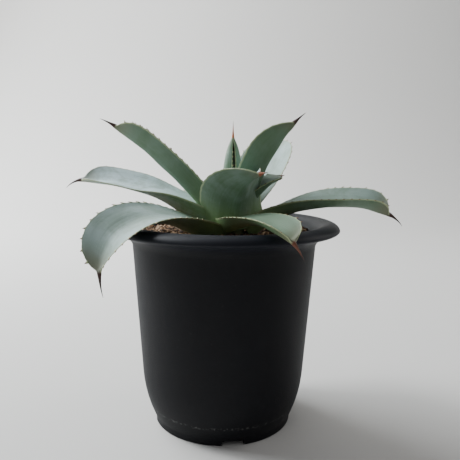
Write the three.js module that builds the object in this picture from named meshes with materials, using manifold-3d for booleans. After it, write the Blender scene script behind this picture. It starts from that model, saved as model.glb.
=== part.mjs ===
// A small agave in a tapered nursery pot.
// Millimetres, +Z up. The shapes are drawn about the pot's axis, with the surface it stands on at Z 0.
// The last lines move the origin to the middle of the whole plant's footprint.
// -Y is the front. Azimuths are in degrees, anticlockwise from +X seen from above.

import * as THREE from 'three';
import { mergeVertices } from 'three/addons/utils/BufferGeometryUtils.js';
import Module from 'manifold-3d';

const wasm = await Module();
wasm.setup();

const GAP = 0.4; // clear space between neighbouring pieces
const MERGE_TOLERANCE = 1e-4;

// ---------------------------------------------------------------- colours

const leafGreen = new THREE.MeshStandardMaterial({ color: 0x8fa596, roughness: 0.6, metalness: 0 });
const stemGreen = new THREE.MeshStandardMaterial({ color: 0xa8b283, roughness: 0.7, metalness: 0 });
const grit = new THREE.MeshStandardMaterial({ color: 0xb08a66, roughness: 0.95, metalness: 0 });
const blackPlastic = new THREE.MeshStandardMaterial({ color: 0x222326, roughness: 0.55, metalness: 0 });

// ---------------------------------------------------------------- solids

/** A manifold solid from a closed three.js geometry. */
function solidFrom(geometry) {
  const bare = geometry.clone();
  bare.deleteAttribute('normal');
  bare.deleteAttribute('uv');
  const merged = mergeVertices(bare, MERGE_TOLERANCE);
  return new wasm.Manifold(new wasm.Mesh({
    numProp: 3,
    vertProperties: new Float32Array(merged.attributes.position.array),
    triVerts: new Uint32Array(merged.index.array),
  }));
}

/** A three.js geometry from a manifold solid. */
function geometryFrom(solid) {
  const mesh = solid.getMesh();
  const geometry = new THREE.BufferGeometry();
  geometry.setAttribute('position', new THREE.BufferAttribute(mesh.vertProperties, 3));
  geometry.setIndex(new THREE.BufferAttribute(mesh.triVerts, 1));
  geometry.computeVertexNormals();
  return geometry;
}

/** The biggest separate body of a solid, for when a cut frees a sliver. */
function biggestBody(solid) {
  return solid.decompose().reduce((best, body) => (body.volume() > best.volume() ? body : best));
}

/**
 * Closes a stack of rings, each of the same even number of points, into one geometry. Each end is a
 * ladder of quads from one half of its ring to the other, so a hollow-sided ring closes flat too.
 */
function skin(rings) {
  const perRing = rings[0].length;
  const points = rings.flat();
  const triangles = [];
  const quad = (a, b, c, d) => triangles.push(a, b, c, a, c, d);
  for (let i = 0; i + 1 < rings.length; i += 1) {
    const here = i * perRing;
    const there = here + perRing;
    for (let k = 0; k < perRing; k += 1) {
      const next = (k + 1) % perRing;
      quad(here + k, here + next, there + next, there + k);
    }
  }
  const end = points.length - perRing;
  for (let k = 0; k + 1 < perRing / 2; k += 1) {
    const facing = perRing - 1 - k;
    quad(k, facing, facing - 1, k + 1);
    quad(end + k, end + k + 1, end + facing - 1, end + facing);
  }
  const geometry = new THREE.BufferGeometry();
  geometry.setAttribute('position', new THREE.Float32BufferAttribute(points.flatMap((p) => p.toArray()), 3));
  geometry.setIndex(triangles);
  return geometry;
}

/** A lathe about +Z from [radius, height] pairs that run up the outside. */
function turned(profile, segments) {
  const lathe = new THREE.LatheGeometry(profile.map(([r, z]) => new THREE.Vector2(r, z)), segments);
  return lathe.rotateX(Math.PI / 2);
}

/** An upright round cutter. */
function roundCutter(radius, bottom, top, x, y, sides = 12) {
  const cylinder = new THREE.CylinderGeometry(radius, radius, top - bottom, sides);
  return solidFrom(cylinder.rotateX(Math.PI / 2).translate(x, y, (bottom + top) / 2));
}

// ---------------------------------------------------------------- pot

const pot = {
  height: 107,
  rimRadius: 60,
  rimEdge: 103.4, // height of the brim's outer edge
  neckRadius: 47.8,
  neckHeight: 95,
  shoulderRadius: 43, // where the straight wall ends and the rounded foot begins
  shoulderHeight: 28,
  footRadius: 36.5,
  footHeight: 3,
  footRingWidth: 3,
  recess: 5.6, // the base plate stands this far off the surface
  wall: 1.6,
  segments: 44,
};

const drain = { radius: 4, ring: 21, count: 6 };
const notch = { width: 11, height: 2.6, depth: 12, count: 4, turn: 9 };

/** Points on a quadratic curve, without its first point. */
function bend(start, control, end, steps) {
  const curve = new THREE.QuadraticBezierCurve(
    new THREE.Vector2(...start),
    new THREE.Vector2(...control),
    new THREE.Vector2(...end),
  );
  return curve.getPoints(steps).slice(1).map((p) => [p.x, p.y]);
}

function potProfile() {
  const neck = [pot.neckRadius, pot.neckHeight];
  const shoulder = [pot.shoulderRadius, pot.shoulderHeight];
  const foot = [pot.footRadius, pot.footHeight];
  const edge = [pot.rimRadius, pot.rimEdge];
  const crest = [pot.rimRadius - 6, pot.height];
  const throat = [pot.neckRadius - pot.wall, pot.neckHeight + 1];
  const innerShoulder = [pot.shoulderRadius - pot.wall, pot.shoulderHeight];
  const innerFoot = [pot.footRadius - pot.wall - 1, pot.recess + pot.wall];
  const ringInside = pot.footRadius - pot.footRingWidth;
  return [
    [0, pot.recess],
    [ringInside, pot.recess],
    [ringInside, 0],
    [pot.footRadius, 0],
    foot,
    ...bend(foot, [pot.shoulderRadius - 0.8, 15], shoulder, 4),
    neck,
    ...bend(neck, [pot.neckRadius + 0.9, pot.neckHeight + 4.6], [pot.rimRadius - 3, pot.rimEdge - 1.7], 4),
    [pot.rimRadius - 0.6, pot.rimEdge - 1.1],
    edge,
    ...bend(edge, [pot.rimRadius - 0.6, pot.height - 0.5], crest, 3),
    ...bend(crest, [pot.neckRadius - 0.2, pot.height - 0.4], throat, 4),
    innerShoulder,
    ...bend(innerShoulder, [pot.shoulderRadius - 2.6, 16], innerFoot, 3),
    [0, pot.recess + pot.wall],
  ];
}

function makePot() {
  let solid = solidFrom(turned(potProfile(), pot.segments));
  const holes = [roundCutter(drain.radius, 0, 20, 0, 0)];
  for (let i = 0; i < drain.count; i += 1) {
    const angle = (2 * Math.PI * i) / drain.count;
    holes.push(roundCutter(drain.radius, 0, 20, drain.ring * Math.cos(angle), drain.ring * Math.sin(angle)));
  }
  for (let i = 0; i < notch.count; i += 1) {
    const box = new THREE.BoxGeometry(notch.depth, notch.width, 2 * notch.height);
    box.translate(pot.footRadius, 0, 0);
    box.rotateZ(THREE.MathUtils.degToRad(notch.turn + (360 * i) / notch.count));
    holes.push(solidFrom(box));
  }
  for (const hole of holes) solid = solid.subtract(hole);
  return solid;
}

// ---------------------------------------------------------------- potting mix

const mix = { level: 101, swell: 0.7, segments: 32 };

/** The mix fills the pot's inside; grow makes it bigger all over, for cutting its neighbours. */
function makeMix(grow) {
  const gap = GAP - grow;
  const floor = pot.recess + pot.wall + gap;
  const inFoot = pot.footRadius - pot.wall - 1 - gap;
  const inShoulder = pot.shoulderRadius - pot.wall - gap;
  const inNeck = pot.neckRadius - pot.wall - gap;
  const top = mix.level + grow;
  const profile = [
    [0, floor],
    [inFoot - 0.3, floor],
    ...bend([inFoot - 0.3, floor], [pot.shoulderRadius - 3.4 - gap, 17], [inShoulder - 0.1, pot.shoulderHeight], 3),
    [inNeck - 0.2, pot.neckHeight],
    [inNeck - 0.2, top - 0.6],
    [inNeck - 8, top],
    [inNeck * 0.6, top],
    [inNeck * 0.3, top],
    [0, top],
  ];
  const geometry = turned(profile, mix.segments);
  const position = geometry.attributes.position;
  for (let i = 0; i < position.count; i += 1) {
    const x = position.getX(i);
    const y = position.getY(i);
    if (position.getZ(i) > mix.level - 1) {
      const wave = Math.sin(x / 6 + 1) * Math.cos(y / 7) * mix.swell;
      position.setZ(i, position.getZ(i) + wave);
    }
  }
  return solidFrom(geometry);
}

// ---------------------------------------------------------------- stem and roots

const stem = { x: 4, y: 0, crownHeight: 112, crownRadius: 4.3, collarHeight: 98, collarRadius: 7 };
const roots = { count: 5, length: 46, drop: 42, radius: 1.7, sides: 6, steps: 5, start: 88 };

function makeStem(grow) {
  const profile = [
    [0, 70 - grow],
    [2.2 + grow, 72],
    [stem.collarRadius - 1 + grow, 86],
    [stem.collarRadius + grow, stem.collarHeight],
    [stem.crownRadius + 1 + grow, stem.crownHeight - 5],
    [stem.crownRadius + grow, stem.crownHeight - 0.8],
    [stem.crownRadius - 0.9 + grow, stem.crownHeight + grow],
    [0, stem.crownHeight + grow],
  ];
  let solid = solidFrom(turned(profile, 16).translate(stem.x, stem.y, 0));
  for (let i = 0; i < roots.count; i += 1) solid = solid.add(makeRoot(i, grow));
  return solid;
}

/** One root: a tapering tube that leaves the stem sideways and dives. */
function makeRoot(index, grow) {
  const heading = (2 * Math.PI * (index + 0.3)) / roots.count;
  const out = new THREE.Vector3(Math.cos(heading), Math.sin(heading), 0);
  const across = new THREE.Vector3(-out.y, out.x, 0);
  const rings = [];
  const reach = roots.length * (0.55 + 0.08 * index);
  const point = (t) => new THREE.Vector3(stem.x, stem.y, roots.start)
    .addScaledVector(out, 2 + reach * Math.sin((t * Math.PI) / 2) * 0.62)
    .addScaledVector(across, 4 * Math.sin(3 * t + index))
    .add(new THREE.Vector3(0, 0, -roots.drop * t * t));
  for (let i = 0; i <= roots.steps; i += 1) {
    const t = i / roots.steps;
    const along = point(t + 0.01).sub(point(t - 0.01)).normalize();
    const side = across.clone().addScaledVector(along, -across.dot(along)).normalize();
    const up = new THREE.Vector3().crossVectors(along, side);
    const radius = roots.radius * (1 - 0.6 * t) + grow;
    const ring = [];
    for (let k = 0; k < roots.sides; k += 1) {
      const turn = (2 * Math.PI * k) / roots.sides;
      ring.push(point(t)
        .addScaledVector(side, radius * Math.cos(turn))
        .addScaledVector(up, radius * Math.sin(turn)));
    }
    rings.push(ring);
  }
  return solidFrom(skin(rings));
}

// ---------------------------------------------------------------- leaves

// A leaf leaves the stem at azimuth az, from a foot beside the stem at height footZ. Its midrib rises at
// the angle rise, and by its tip it has turned down by droop and sideways by swing. bend says how late the
// turning down comes. roll raises its left edge, looking outward, and twist adds to that between twistFrom
// and twistBy, which are shares of the length.
// cup and fold are how far the sides stand up at the foot and at the tip, as a share of the half width, and
// wrap is how much further the sides stand up round the stem.
// neck is how wide the foot is, as a share of the widest place, which is at peak. A higher taper gives a
// blunter tip. thick is the flesh under the foot, and a higher lean thins it sooner. spine and hook are the
// end spine's length and bend. Lengths are millimetres and angles are degrees.
const usual = {
  footR: 6, footAz: null, neck: 0.55, peak: 0.6, taper: 3.5, bend: 1.5, swing: 0, roll: 0, twist: 0,
  twistFrom: 0, twistBy: 1, wrap: 0, cup: 0.2, fold: 0.7, thick: 5, lean: 1.3, spine: 8, hook: 0,
};

// Inner leaves first: each later leaf is trimmed where it would meet one before it.
const leaves = {
  leaf_core: {
    az: 90, footR: 0, footZ: 112.4, length: 37, width: 13, rise: 89, droop: 3,
    cup: 0.5, fold: 0.5, thick: 4, taper: 2.6, neck: 0.7,
  },
  leaf_upper_right: {
    az: 334, footR: 3, footZ: 108, length: 58, width: 26, rise: 68, droop: 24, cup: 0.4, fold: 0.8,
    spine: 7.5, hook: -10, taper: 2.2, neck: 0.85, bloom: 0.35,
  },
  leaf_front_centre: {
    az: 270, footZ: 105, length: 41.5, width: 33, rise: 66, droop: 54, bend: 1.4, swing: 46,
    cup: 0.5, fold: 0.8, spine: 5, peak: 0.3, neck: 1.06, taper: 2.5, thick: 6, bloom: 0.9,
  },
  leaf_upper_left: {
    az: 190, footR: 5, footZ: 108.5, length: 71.5, width: 21, rise: 46, droop: 14, bend: 1.4,
    swing: -5, cup: 0.6, fold: 0.8, spine: 8.5, hook: -12, taper: 5, bloom: 0.6,
  },
  leaf_back_right: {
    az: 48, footR: 5, footZ: 107, length: 57, width: 32, rise: 52, droop: 12, cup: 0.15, fold: 0.5,
    spine: 5, swing: 8, bloom: 0.6,
  },
  leaf_inner_right: {
    az: 342, footR: 5, footZ: 113, length: 27, width: 15.5, rise: 56, droop: 40, swing: 40, roll: 6,
    cup: 0.3, fold: 0.1, spine: 3, peak: 0.7, taper: 8, bloom: 0.3,
  },
  leaf_left: {
    az: 176, footZ: 107, length: 78, width: 22, rise: 33, droop: 36, bend: 1, roll: -4, twist: -15,
    twistFrom: 0.3, twistBy: 0.62, wrap: 0.5, cup: 0.05, fold: 0.5, thick: 12, lean: 2.2, spine: 10,
    hook: -45, taper: 7, bloom: 1.8,
  },
  leaf_right: {
    az: 352, footZ: 105, length: 78, width: 21, rise: 36, droop: 61, bend: 1, roll: -12, twist: 24,
    twistBy: 0.7, cup: 0.1, fold: 0.9, thick: 8.5, spine: 9, hook: -30, taper: 7, bloom: 0.4,
  },
  leaf_front_right: {
    az: 289, footAz: 212, footZ: 107.5, length: 66, width: 18, rise: 8.5, droop: 44, bend: 3,
    swing: 20, roll: 3, twist: 0, cup: 0.12, thick: 9, lean: 2, spine: 10, hook: -20, taper: 7,
    bloom: 0.05,
  },
  leaf_front_left: {
    az: 221, footAz: 212, footZ: 103, length: 84, width: 26.5, rise: 18.3, droop: 108, bend: 2.5,
    roll: -2, twist: -15, twistBy: 0.8, thick: 12, lean: 2.4, cup: 0.15, fold: 0.6, spine: 12,
    hook: -15, peak: 0.65, bloom: 0.6,
  },
  leaf_back: {
    az: 88, footZ: 105, length: 70, width: 26, rise: 36, droop: 50, bend: 1.3, cup: 0.3, fold: 0.8,
    spine: 9, bloom: 0.7,
  },
  leaf_back_left: {
    az: 128, footZ: 103, length: 54, width: 24, rise: 30, droop: 42, bend: 1.3, cup: 0.3, fold: 0.8,
    spine: 8, bloom: 0.7,
  },
};

const SPINE_RADIUS = 0.9;
const MARGIN = 0.2; // half the thickness of a leaf's edge
const TIP_FLESH = 1.2; // how deep a leaf is where its end spine begins
const LEAF_RINGS = 14;
const TIP_CROWDING = 1.5; // how much closer the rings stand towards the tip
const SPINE_RINGS = 2;
const ACROSS = 3; // points from the midrib to one edge

function smooth(x) {
  const t = Math.min(Math.max(x, 0), 1);
  return t * t * (3 - 2 * t);
}

/** How far the leaf is rolled at s, its share of the length, in degrees. */
function rollAt(leaf, s) {
  return leaf.roll + leaf.twist * smooth((s - leaf.twistFrom) / (leaf.twistBy - leaf.twistFrom));
}

function halfWidth(leaf, s) {
  const full = leaf.width / 2;
  if (s < leaf.peak) {
    return full * (leaf.neck + (1 - leaf.neck) * Math.sin((Math.PI / 2) * (s / leaf.peak)) ** 1.5);
  }
  const beyond = (s - leaf.peak) / (1 - leaf.peak);
  return Math.max(full * (1 - beyond ** leaf.taper), SPINE_RADIUS);
}

/** The directions along, across and above a leaf whose midrib climbs at el towards az, rolled by roll. */
function directions(el, az, roll) {
  const along = new THREE.Vector3(Math.cos(el) * Math.cos(az), Math.cos(el) * Math.sin(az), Math.sin(el));
  const level = new THREE.Vector3(-Math.sin(az), Math.cos(az), 0);
  const across = level.applyAxisAngle(along, roll);
  return { along, across, above: new THREE.Vector3().crossVectors(along, across) };
}

/**
 * One ring round a leaf or its spine. round is how far it swells above its channel and below how far it
 * swells beneath, both falling away to a blunt margin of half thickness edge.
 */
function section(centre, { across, above }, { half, sides, round, below, edge }) {
  const place = (u, lift) => centre.clone()
    .addScaledVector(across, half * u * Math.sqrt(1 - 0.35 * sides * sides * Math.abs(u) ** 1.4))
    .addScaledVector(above, sides * half * Math.abs(u) ** 1.4 + lift);
  const steps = [];
  for (let k = -ACROSS; k <= ACROSS; k += 1) steps.push(k / ACROSS);
  const top = steps.map((u) => place(u, edge + round * Math.sqrt(1 - u * u)));
  const bottom = steps.map((u) => place(u, -edge - below * (1 - Math.abs(u) ** 2.2)));
  return [...bottom, ...top.reverse()];
}

function makeLeaf(shape, grow) {
  const leaf = { ...usual, ...shape };
  const rad = THREE.MathUtils.degToRad;
  const footAz = rad(leaf.footAz ?? leaf.az);
  const centre = new THREE.Vector3(
    stem.x + leaf.footR * Math.cos(footAz),
    stem.y + leaf.footR * Math.sin(footAz),
    leaf.footZ,
  );
  const rings = [];
  let before = null;
  for (let i = 0; i <= LEAF_RINGS; i += 1) {
    const s = 1 - (1 - i / LEAF_RINGS) ** TIP_CROWDING;
    const el = rad(leaf.rise - leaf.droop * s ** leaf.bend);
    const frame = directions(el, rad(leaf.az + leaf.swing * s), rad(rollAt(leaf, s)));
    if (before) {
      const step = leaf.length * (s - before.s);
      centre.addScaledVector(before.frame.along, step / 2);
      centre.addScaledVector(frame.along, step / 2);
    } else {
      centre.addScaledVector(frame.along, -grow);
    }
    const sides = leaf.cup + (leaf.fold - leaf.cup) * s ** 3 + leaf.wrap * (1 - s) ** 3;
    const below = TIP_FLESH + (leaf.thick - TIP_FLESH) * (1 - s) ** leaf.lean;
    const half = halfWidth(leaf, s) + grow;
    rings.push(section(centre, frame, { half, sides, round: 0, below, edge: MARGIN + grow }));
    before = { s, frame };
  }
  let el = rad(leaf.rise - leaf.droop);
  const az = rad(leaf.az + leaf.swing);
  for (let i = 1; i <= SPINE_RINGS; i += 1) {
    el += rad(leaf.hook / SPINE_RINGS);
    const frame = directions(el, az, rad(rollAt(leaf, 1)));
    centre.addScaledVector(frame.along, leaf.spine / SPINE_RINGS);
    const radius = SPINE_RADIUS * (1 - (0.8 * i) / SPINE_RINGS);
    const edge = MARGIN * (1 - (0.8 * i) / SPINE_RINGS) + grow;
    rings.push(section(centre, frame, { half: radius + grow, sides: 0, round: radius, below: radius, edge }));
  }
  return solidFrom(skin(rings));
}

// ---------------------------------------------------------------- the potted plant

const plant = new THREE.Group();

function addPiece(name, solid, material) {
  const piece = new THREE.Mesh(geometryFrom(solid), material);
  piece.name = name;
  plant.add(piece);
}

addPiece('pot', makePot(), blackPlastic);
addPiece('potting_mix', biggestBody(makeMix(0).subtract(makeStem(GAP))), grit);
addPiece('stem', makeStem(0), stemGreen);

const kept = [makeStem(GAP), makeMix(GAP)];
for (const [name, shape] of Object.entries(leaves)) {
  let solid = makeLeaf(shape, 0);
  for (const neighbour of kept) solid = solid.subtract(neighbour);
  addPiece(name, biggestBody(solid), leafGreen);
  kept.push(makeLeaf(shape, GAP));
}

const footprint = new THREE.Box3().setFromObject(plant).getCenter(new THREE.Vector3());
plant.position.set(-footprint.x, -footprint.y, 0);

export default plant;
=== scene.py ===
import math

import bmesh
import bpy
from mathutils import Matrix, Quaternion, Vector, noise


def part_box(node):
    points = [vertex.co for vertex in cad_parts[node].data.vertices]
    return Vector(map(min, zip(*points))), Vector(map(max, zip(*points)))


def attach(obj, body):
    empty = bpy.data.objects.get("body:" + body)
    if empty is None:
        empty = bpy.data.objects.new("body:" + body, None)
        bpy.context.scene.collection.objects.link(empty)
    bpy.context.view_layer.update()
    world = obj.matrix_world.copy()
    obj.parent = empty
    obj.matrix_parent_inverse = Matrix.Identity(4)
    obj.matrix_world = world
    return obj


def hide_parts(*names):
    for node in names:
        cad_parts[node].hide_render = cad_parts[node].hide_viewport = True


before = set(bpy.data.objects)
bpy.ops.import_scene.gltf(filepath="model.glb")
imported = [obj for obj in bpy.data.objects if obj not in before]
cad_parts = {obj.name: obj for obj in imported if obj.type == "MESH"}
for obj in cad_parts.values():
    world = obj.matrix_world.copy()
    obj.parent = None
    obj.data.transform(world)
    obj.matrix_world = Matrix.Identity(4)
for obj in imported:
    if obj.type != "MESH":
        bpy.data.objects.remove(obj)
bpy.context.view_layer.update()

bl_info = {
    "name": "Potted agave",
    "version": (1, 0, 0),
    "blender": (4, 5, 0),
    "location": "View3D > Sidebar > Agave",
    "description": "Builds a small agave in a black nursery pot round its fixed frame",
    "category": "Add Mesh",
}

# ------------------------------------------------------------------ places and sizes, from the frame

POT_LOW, POT_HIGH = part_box("pot")
POT_AXIS = Vector(((POT_LOW.x + POT_HIGH.x) / 2, (POT_LOW.y + POT_HIGH.y) / 2, 0))
BRIM_RADIUS = (POT_HIGH.x - POT_LOW.x) / 2
POT_HEIGHT = POT_HIGH.z
MM = BRIM_RADIUS / 60  # shapes below are written for a pot whose brim is 60 mm in radius
STEM_OFFSET = 4  # how far right of the pot's axis the stem stands, in mm
SETTLED = 2.2  # how far the visible mix lies below the highest of its solid, in mm
STEM_AXIS = POT_AXIS + Vector((STEM_OFFSET * MM, 0, 0))
MIX_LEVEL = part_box("potting_mix")[1].z - SETTLED * MM
ROOT = "root"

# ------------------------------------------------------------------ leaf shapes

# Lengths are in mm and angles in degrees. A leaf heads for azimuth az, from a foot at height foot_z that is
# foot_r from the stem's axis, towards foot_az where that is given. Its midrib rises at the angle rise, and
# by its tip it has turned down by droop and sideways by swing. bend says how late the turning down comes.
# roll raises its left edge, looking outward, and twist adds to that between twist_from and twist_by.
# cup and fold are how far the sides stand up at the foot and at the tip, as a share of the half width, and
# wrap is how much further the sides stand up round the stem. crease is how marked a lengthwise crease is.
# neck is how wide the foot is, as a share of the widest place, which is at peak. A higher taper gives a
# blunter tip. thick is the flesh under the foot, and a higher lean thins it sooner. spine and hook are the
# end spine's length and bend, and teeth is the length of the teeth, as a share of a full tooth.
# age browns the tip, warm turns the end spine orange-red, and bloom is how much wax whitens the blade; a low
# bloom also darkens the upper face towards the under colour, as painted shade.
USUAL = dict(
    foot_r=6, foot_az=None, neck=0.55, peak=0.6, taper=3.5, bend=1.5, swing=0, roll=0, twist=0,
    twist_from=0, twist_by=1, wrap=0, cup=0.2, fold=0.7, thick=5, lean=1.3, spine=8, hook=0, age=0.6,
    crease=0.0, teeth=1.0, warm=0.03, bloom=1,
)
LEAVES = {
    "leaf_upper_right": dict(
        az=334, foot_r=3, foot_z=108, length=58, width=26, rise=68, droop=24, cup=0.4, fold=0.8,
        spine=7.5, hook=-10, taper=2.2, neck=0.85, age=0.45, teeth=0.45, bloom=0.35,
    ),
    "leaf_front_centre": dict(
        az=270, foot_z=105, length=41.5, width=33, rise=66, droop=54, bend=1.4, swing=46,
        cup=0.5, fold=0.65, spine=5, peak=0.3, neck=1.06, taper=2.5, thick=6, age=0.3, teeth=0.5,
        warm=0.45, bloom=0.9,
    ),
    "leaf_upper_left": dict(
        az=190, foot_r=5, foot_z=108.5, length=71.5, width=21, rise=46, droop=14, bend=1.4, swing=-5,
        cup=0.6, fold=0.8, spine=8.5, hook=-12, taper=5, age=0.5, bloom=0.6,
    ),
    "leaf_back_right": dict(
        az=48, foot_r=5, foot_z=107, length=57, width=32, rise=52, droop=12, cup=0.15, fold=0.5, spine=5,
        swing=8, age=0.3, bloom=0.6,
    ),
    "leaf_inner_right": dict(
        az=342, foot_r=5, foot_z=113, length=27, width=15.5, rise=56, droop=40, swing=40, roll=6, cup=0.3,
        fold=0.1, spine=3, peak=0.7, taper=8, age=0.35, teeth=1.2, warm=0.3, bloom=0.3,
    ),
    "leaf_left": dict(
        az=176, foot_z=107, length=78, width=22, rise=33, droop=36, bend=1, roll=-4, twist=-15,
        twist_from=0.3, twist_by=0.62, wrap=0.5, cup=0.05, fold=0.5, thick=12, lean=2.2, spine=10, hook=-45,
        taper=7, age=0.5, crease=1.0, teeth=0.6, bloom=1.8,
    ),
    "leaf_right": dict(
        az=352, foot_z=105, length=78, width=21, rise=36, droop=61, bend=1, roll=-12, twist=24, twist_by=0.7,
        cup=0.1, fold=0.9, thick=8.5, spine=9, hook=-30, taper=7, age=0.8, bloom=0.4,
    ),
    "leaf_front_right": dict(
        az=289, foot_az=212, foot_z=107.5, length=66, width=18, rise=8.5, droop=44, bend=3, swing=20,
        roll=3, cup=0.12, thick=9, lean=2, spine=10, hook=-20, taper=7, age=0.8, warm=0.2, bloom=0,
    ),
    "leaf_front_left": dict(
        az=221, foot_az=212, foot_z=103, length=84, width=26.5, rise=18.3, droop=108, bend=2.5, roll=-2,
        twist=-15, twist_by=0.8, thick=12, lean=2.4, cup=0.15, fold=0.6, spine=12, hook=-15, peak=0.65,
        age=0.9, bloom=0.6, teeth=1.3,
    ),
    "leaf_back": dict(
        az=88, foot_z=105, length=70, width=26, rise=36, droop=50, bend=1.3, cup=0.3, fold=0.8, spine=9,
        age=0.7, bloom=0.7,
    ),
    "leaf_back_left": dict(
        az=128, foot_z=103, length=54, width=24, rise=30, droop=42, bend=1.3, cup=0.3, fold=0.8, spine=8,
        age=0.9, bloom=0.7,
    ),
}
SPINE_RADIUS = 0.95
EDGE = 0.22  # half the thickness of a leaf's margin
TIP_FLESH = 1.2  # how deep a leaf is where its end spine begins
BLADE_SHARE = 0.85  # the blade takes this share of the leaf's UV length, and the spine the rest
SIDE_CURVE = 1.4  # a higher value keeps a blade flat further out before its sides stand up
KEEL_CURVE = 2.2  # a higher value keeps a blade's flesh deep further out from its midrib
TOOTH_GAP = 3.6  # from one marginal tooth to the next
TEETH_FROM, TEETH_TO = 0.22, 0.965  # the stretch of a leaf's length that carries teeth
TOOTH_SWELL = 0.3  # how far the margin stands out where it carries a tooth
TOOTH_SEED, CORE_TOOTH_SEED = 11, 5

# The furled core is two rolled leaves. full is its widest radius, furl is half the angle that the roll
# covers, in radians, and lean turns its slit to the right, in degrees.
CORE_FOOT = 112.2  # height of the spear's foot
CORE_OUTER = dict(full=5.4, length=37.5, spine=8.5, furl=2.93, lean=8)
CORE_HEART = dict(full=3.3, length=32.0, spine=1.5, furl=3.02, lean=-24)
CORE_WALL = 0.55  # flesh at the foot of a rolled leaf, on top of a quarter of its radius
HEART_SHADE = (0.012, 0.02, 0.008)  # colour of the light-starved depth of the roll


def smooth(x):
    """An even step from 0 to 1."""
    x = min(max(x, 0.0), 1.0)
    return x * x * (3 - 2 * x)


def half_width(leaf, s):
    full = leaf["width"] / 2
    if s < leaf["peak"]:
        rising = math.sin(math.pi / 2 * s / leaf["peak"]) ** 1.5
        half = full * (leaf["neck"] + (1 - leaf["neck"]) * rising)
    else:
        half = full * (1 - ((s - leaf["peak"]) / (1 - leaf["peak"])) ** leaf["taper"])
    return math.hypot(max(half, 0), SPINE_RADIUS)


def directions(el, az, roll):
    """Unit vectors along, across and above a leaf whose midrib climbs at el towards az."""
    along = Vector((math.cos(el) * math.cos(az), math.cos(el) * math.sin(az), math.sin(el)))
    across = Vector((-math.sin(az), math.cos(az), 0))
    across.rotate(Quaternion(along, roll))
    return along, across, along.cross(across)


def roll_at(leaf, s):
    turned_by = smooth((s - leaf["twist_from"]) / (leaf["twist_by"] - leaf["twist_from"]))
    return math.radians(leaf["roll"] + leaf["twist"] * turned_by)


def flesh(leaf, s):
    """How deep the leaf is under its midrib, in mm."""
    return TIP_FLESH + (leaf["thick"] - TIP_FLESH) * (1 - s) ** leaf["lean"]


def midrib(leaf, steps):
    """Stations (share of length, centre in mm, directions) from the foot to the tip."""
    foot_az = math.radians(leaf["az"] if leaf["foot_az"] is None else leaf["foot_az"])
    centre = Vector((leaf["foot_r"] * math.cos(foot_az), leaf["foot_r"] * math.sin(foot_az), leaf["foot_z"]))
    stations = []
    before = None
    for i in range(steps + 1):
        s = i / steps
        el = math.radians(leaf["rise"] - leaf["droop"] * s ** leaf["bend"])
        az = math.radians(leaf["az"] + leaf["swing"] * s)
        way = directions(el, az, roll_at(leaf, s))
        if before:
            centre = centre + (before[0] + way[0]) * (leaf["length"] / steps / 2)
        stations.append((s, centre, way))
        before = way
    return stations


def spine_stations(leaf, centre, steps):
    """Stations along the end spine, which goes on from the tip and may hook."""
    el = math.radians(leaf["rise"] - leaf["droop"])
    az = math.radians(leaf["az"] + leaf["swing"])
    roll = roll_at(leaf, 1)
    stations = []
    for i in range(1, steps + 1):
        el += math.radians(leaf["hook"] / steps)
        way = directions(el, az, roll)
        centre = centre + way[0] * (leaf["spine"] / steps)
        stations.append((i / steps, centre, way))
    return stations


def margin_wave(leaf, s):
    """How far the margin stands out at s: low swellings that carry the teeth, in mm."""
    count = tooth_count(leaf)
    strength = smooth((s - 0.2) / 0.2) * smooth((1 - s) / 0.1)
    return TOOTH_SWELL * strength * abs(math.cos(math.pi * s * count)) ** 0.5


def tooth_count(leaf):
    return round(leaf["length"] / TOOTH_GAP)


def blade_point(leaf, s, centre, way, u, lift):
    """A point of the blade at u across it, from -1 to 1, raised by lift, in mm."""
    sides = leaf["cup"] + (leaf["fold"] - leaf["cup"]) * s ** 3 + leaf["wrap"] * (1 - s) ** 3
    sides *= 1 - 0.9 * smooth((s - 0.975) / 0.025)
    half = half_width(leaf, s) + margin_wave(leaf, s)
    reach = half * u * math.sqrt(1 - 0.35 * sides * sides * abs(u) ** SIDE_CURVE)
    dent = leaf["crease"] * 0.5 * math.exp(-((u - 0.25) / 0.12) ** 2)
    dent *= smooth(s / 0.3) * smooth((0.9 - s) / 0.3)
    return centre + way[1] * reach + way[2] * (sides * half * abs(u) ** SIDE_CURVE + lift - dent)


def to_place(point):
    """From millimetres about the stem's axis to the frame's metres."""
    return Vector((STEM_AXIS.x, STEM_AXIS.y, 0)) + point * MM


# ------------------------------------------------------------------ mesh helpers


def ring_faces(rings, per_ring):
    """The faces between each of a stack of equal rings of points and the next."""
    faces = []
    for i in range(rings - 1):
        here, there = i * per_ring, (i + 1) * per_ring
        for k in range(per_ring):
            after = (k + 1) % per_ring
            faces.append((here + k, here + after, there + after, there + k))
    return faces


def closed_rings(rings, per_ring):
    """Ring faces for an even number of points, closed by ladders at both ends."""
    faces = ring_faces(rings, per_ring)
    end = (rings - 1) * per_ring
    for k in range(per_ring // 2 - 1):
        facing = per_ring - 1 - k
        faces.append((k, facing, facing - 1, k + 1))
        faces.append((end + k, end + k + 1, end + facing - 1, end + facing))
    return faces


def new_object(name, data):
    made = bpy.data.objects.new(name, data)
    bpy.context.scene.collection.objects.link(made)
    return made


def new_piece(name, points, faces, finish):
    mesh = bpy.data.meshes.new(name)
    mesh.from_pydata([tuple(p) for p in points], [], faces)
    mesh.validate()
    mesh.materials.append(finish)
    mesh.shade_smooth()
    return new_object(name, mesh)


def face_outwards(piece, merge=True):
    work = bmesh.new()
    work.from_mesh(piece.data)
    if merge:
        bmesh.ops.remove_doubles(work, verts=work.verts, dist=1e-7)
    bmesh.ops.recalc_face_normals(work, faces=work.faces)
    work.to_mesh(piece.data)
    work.free()


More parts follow.
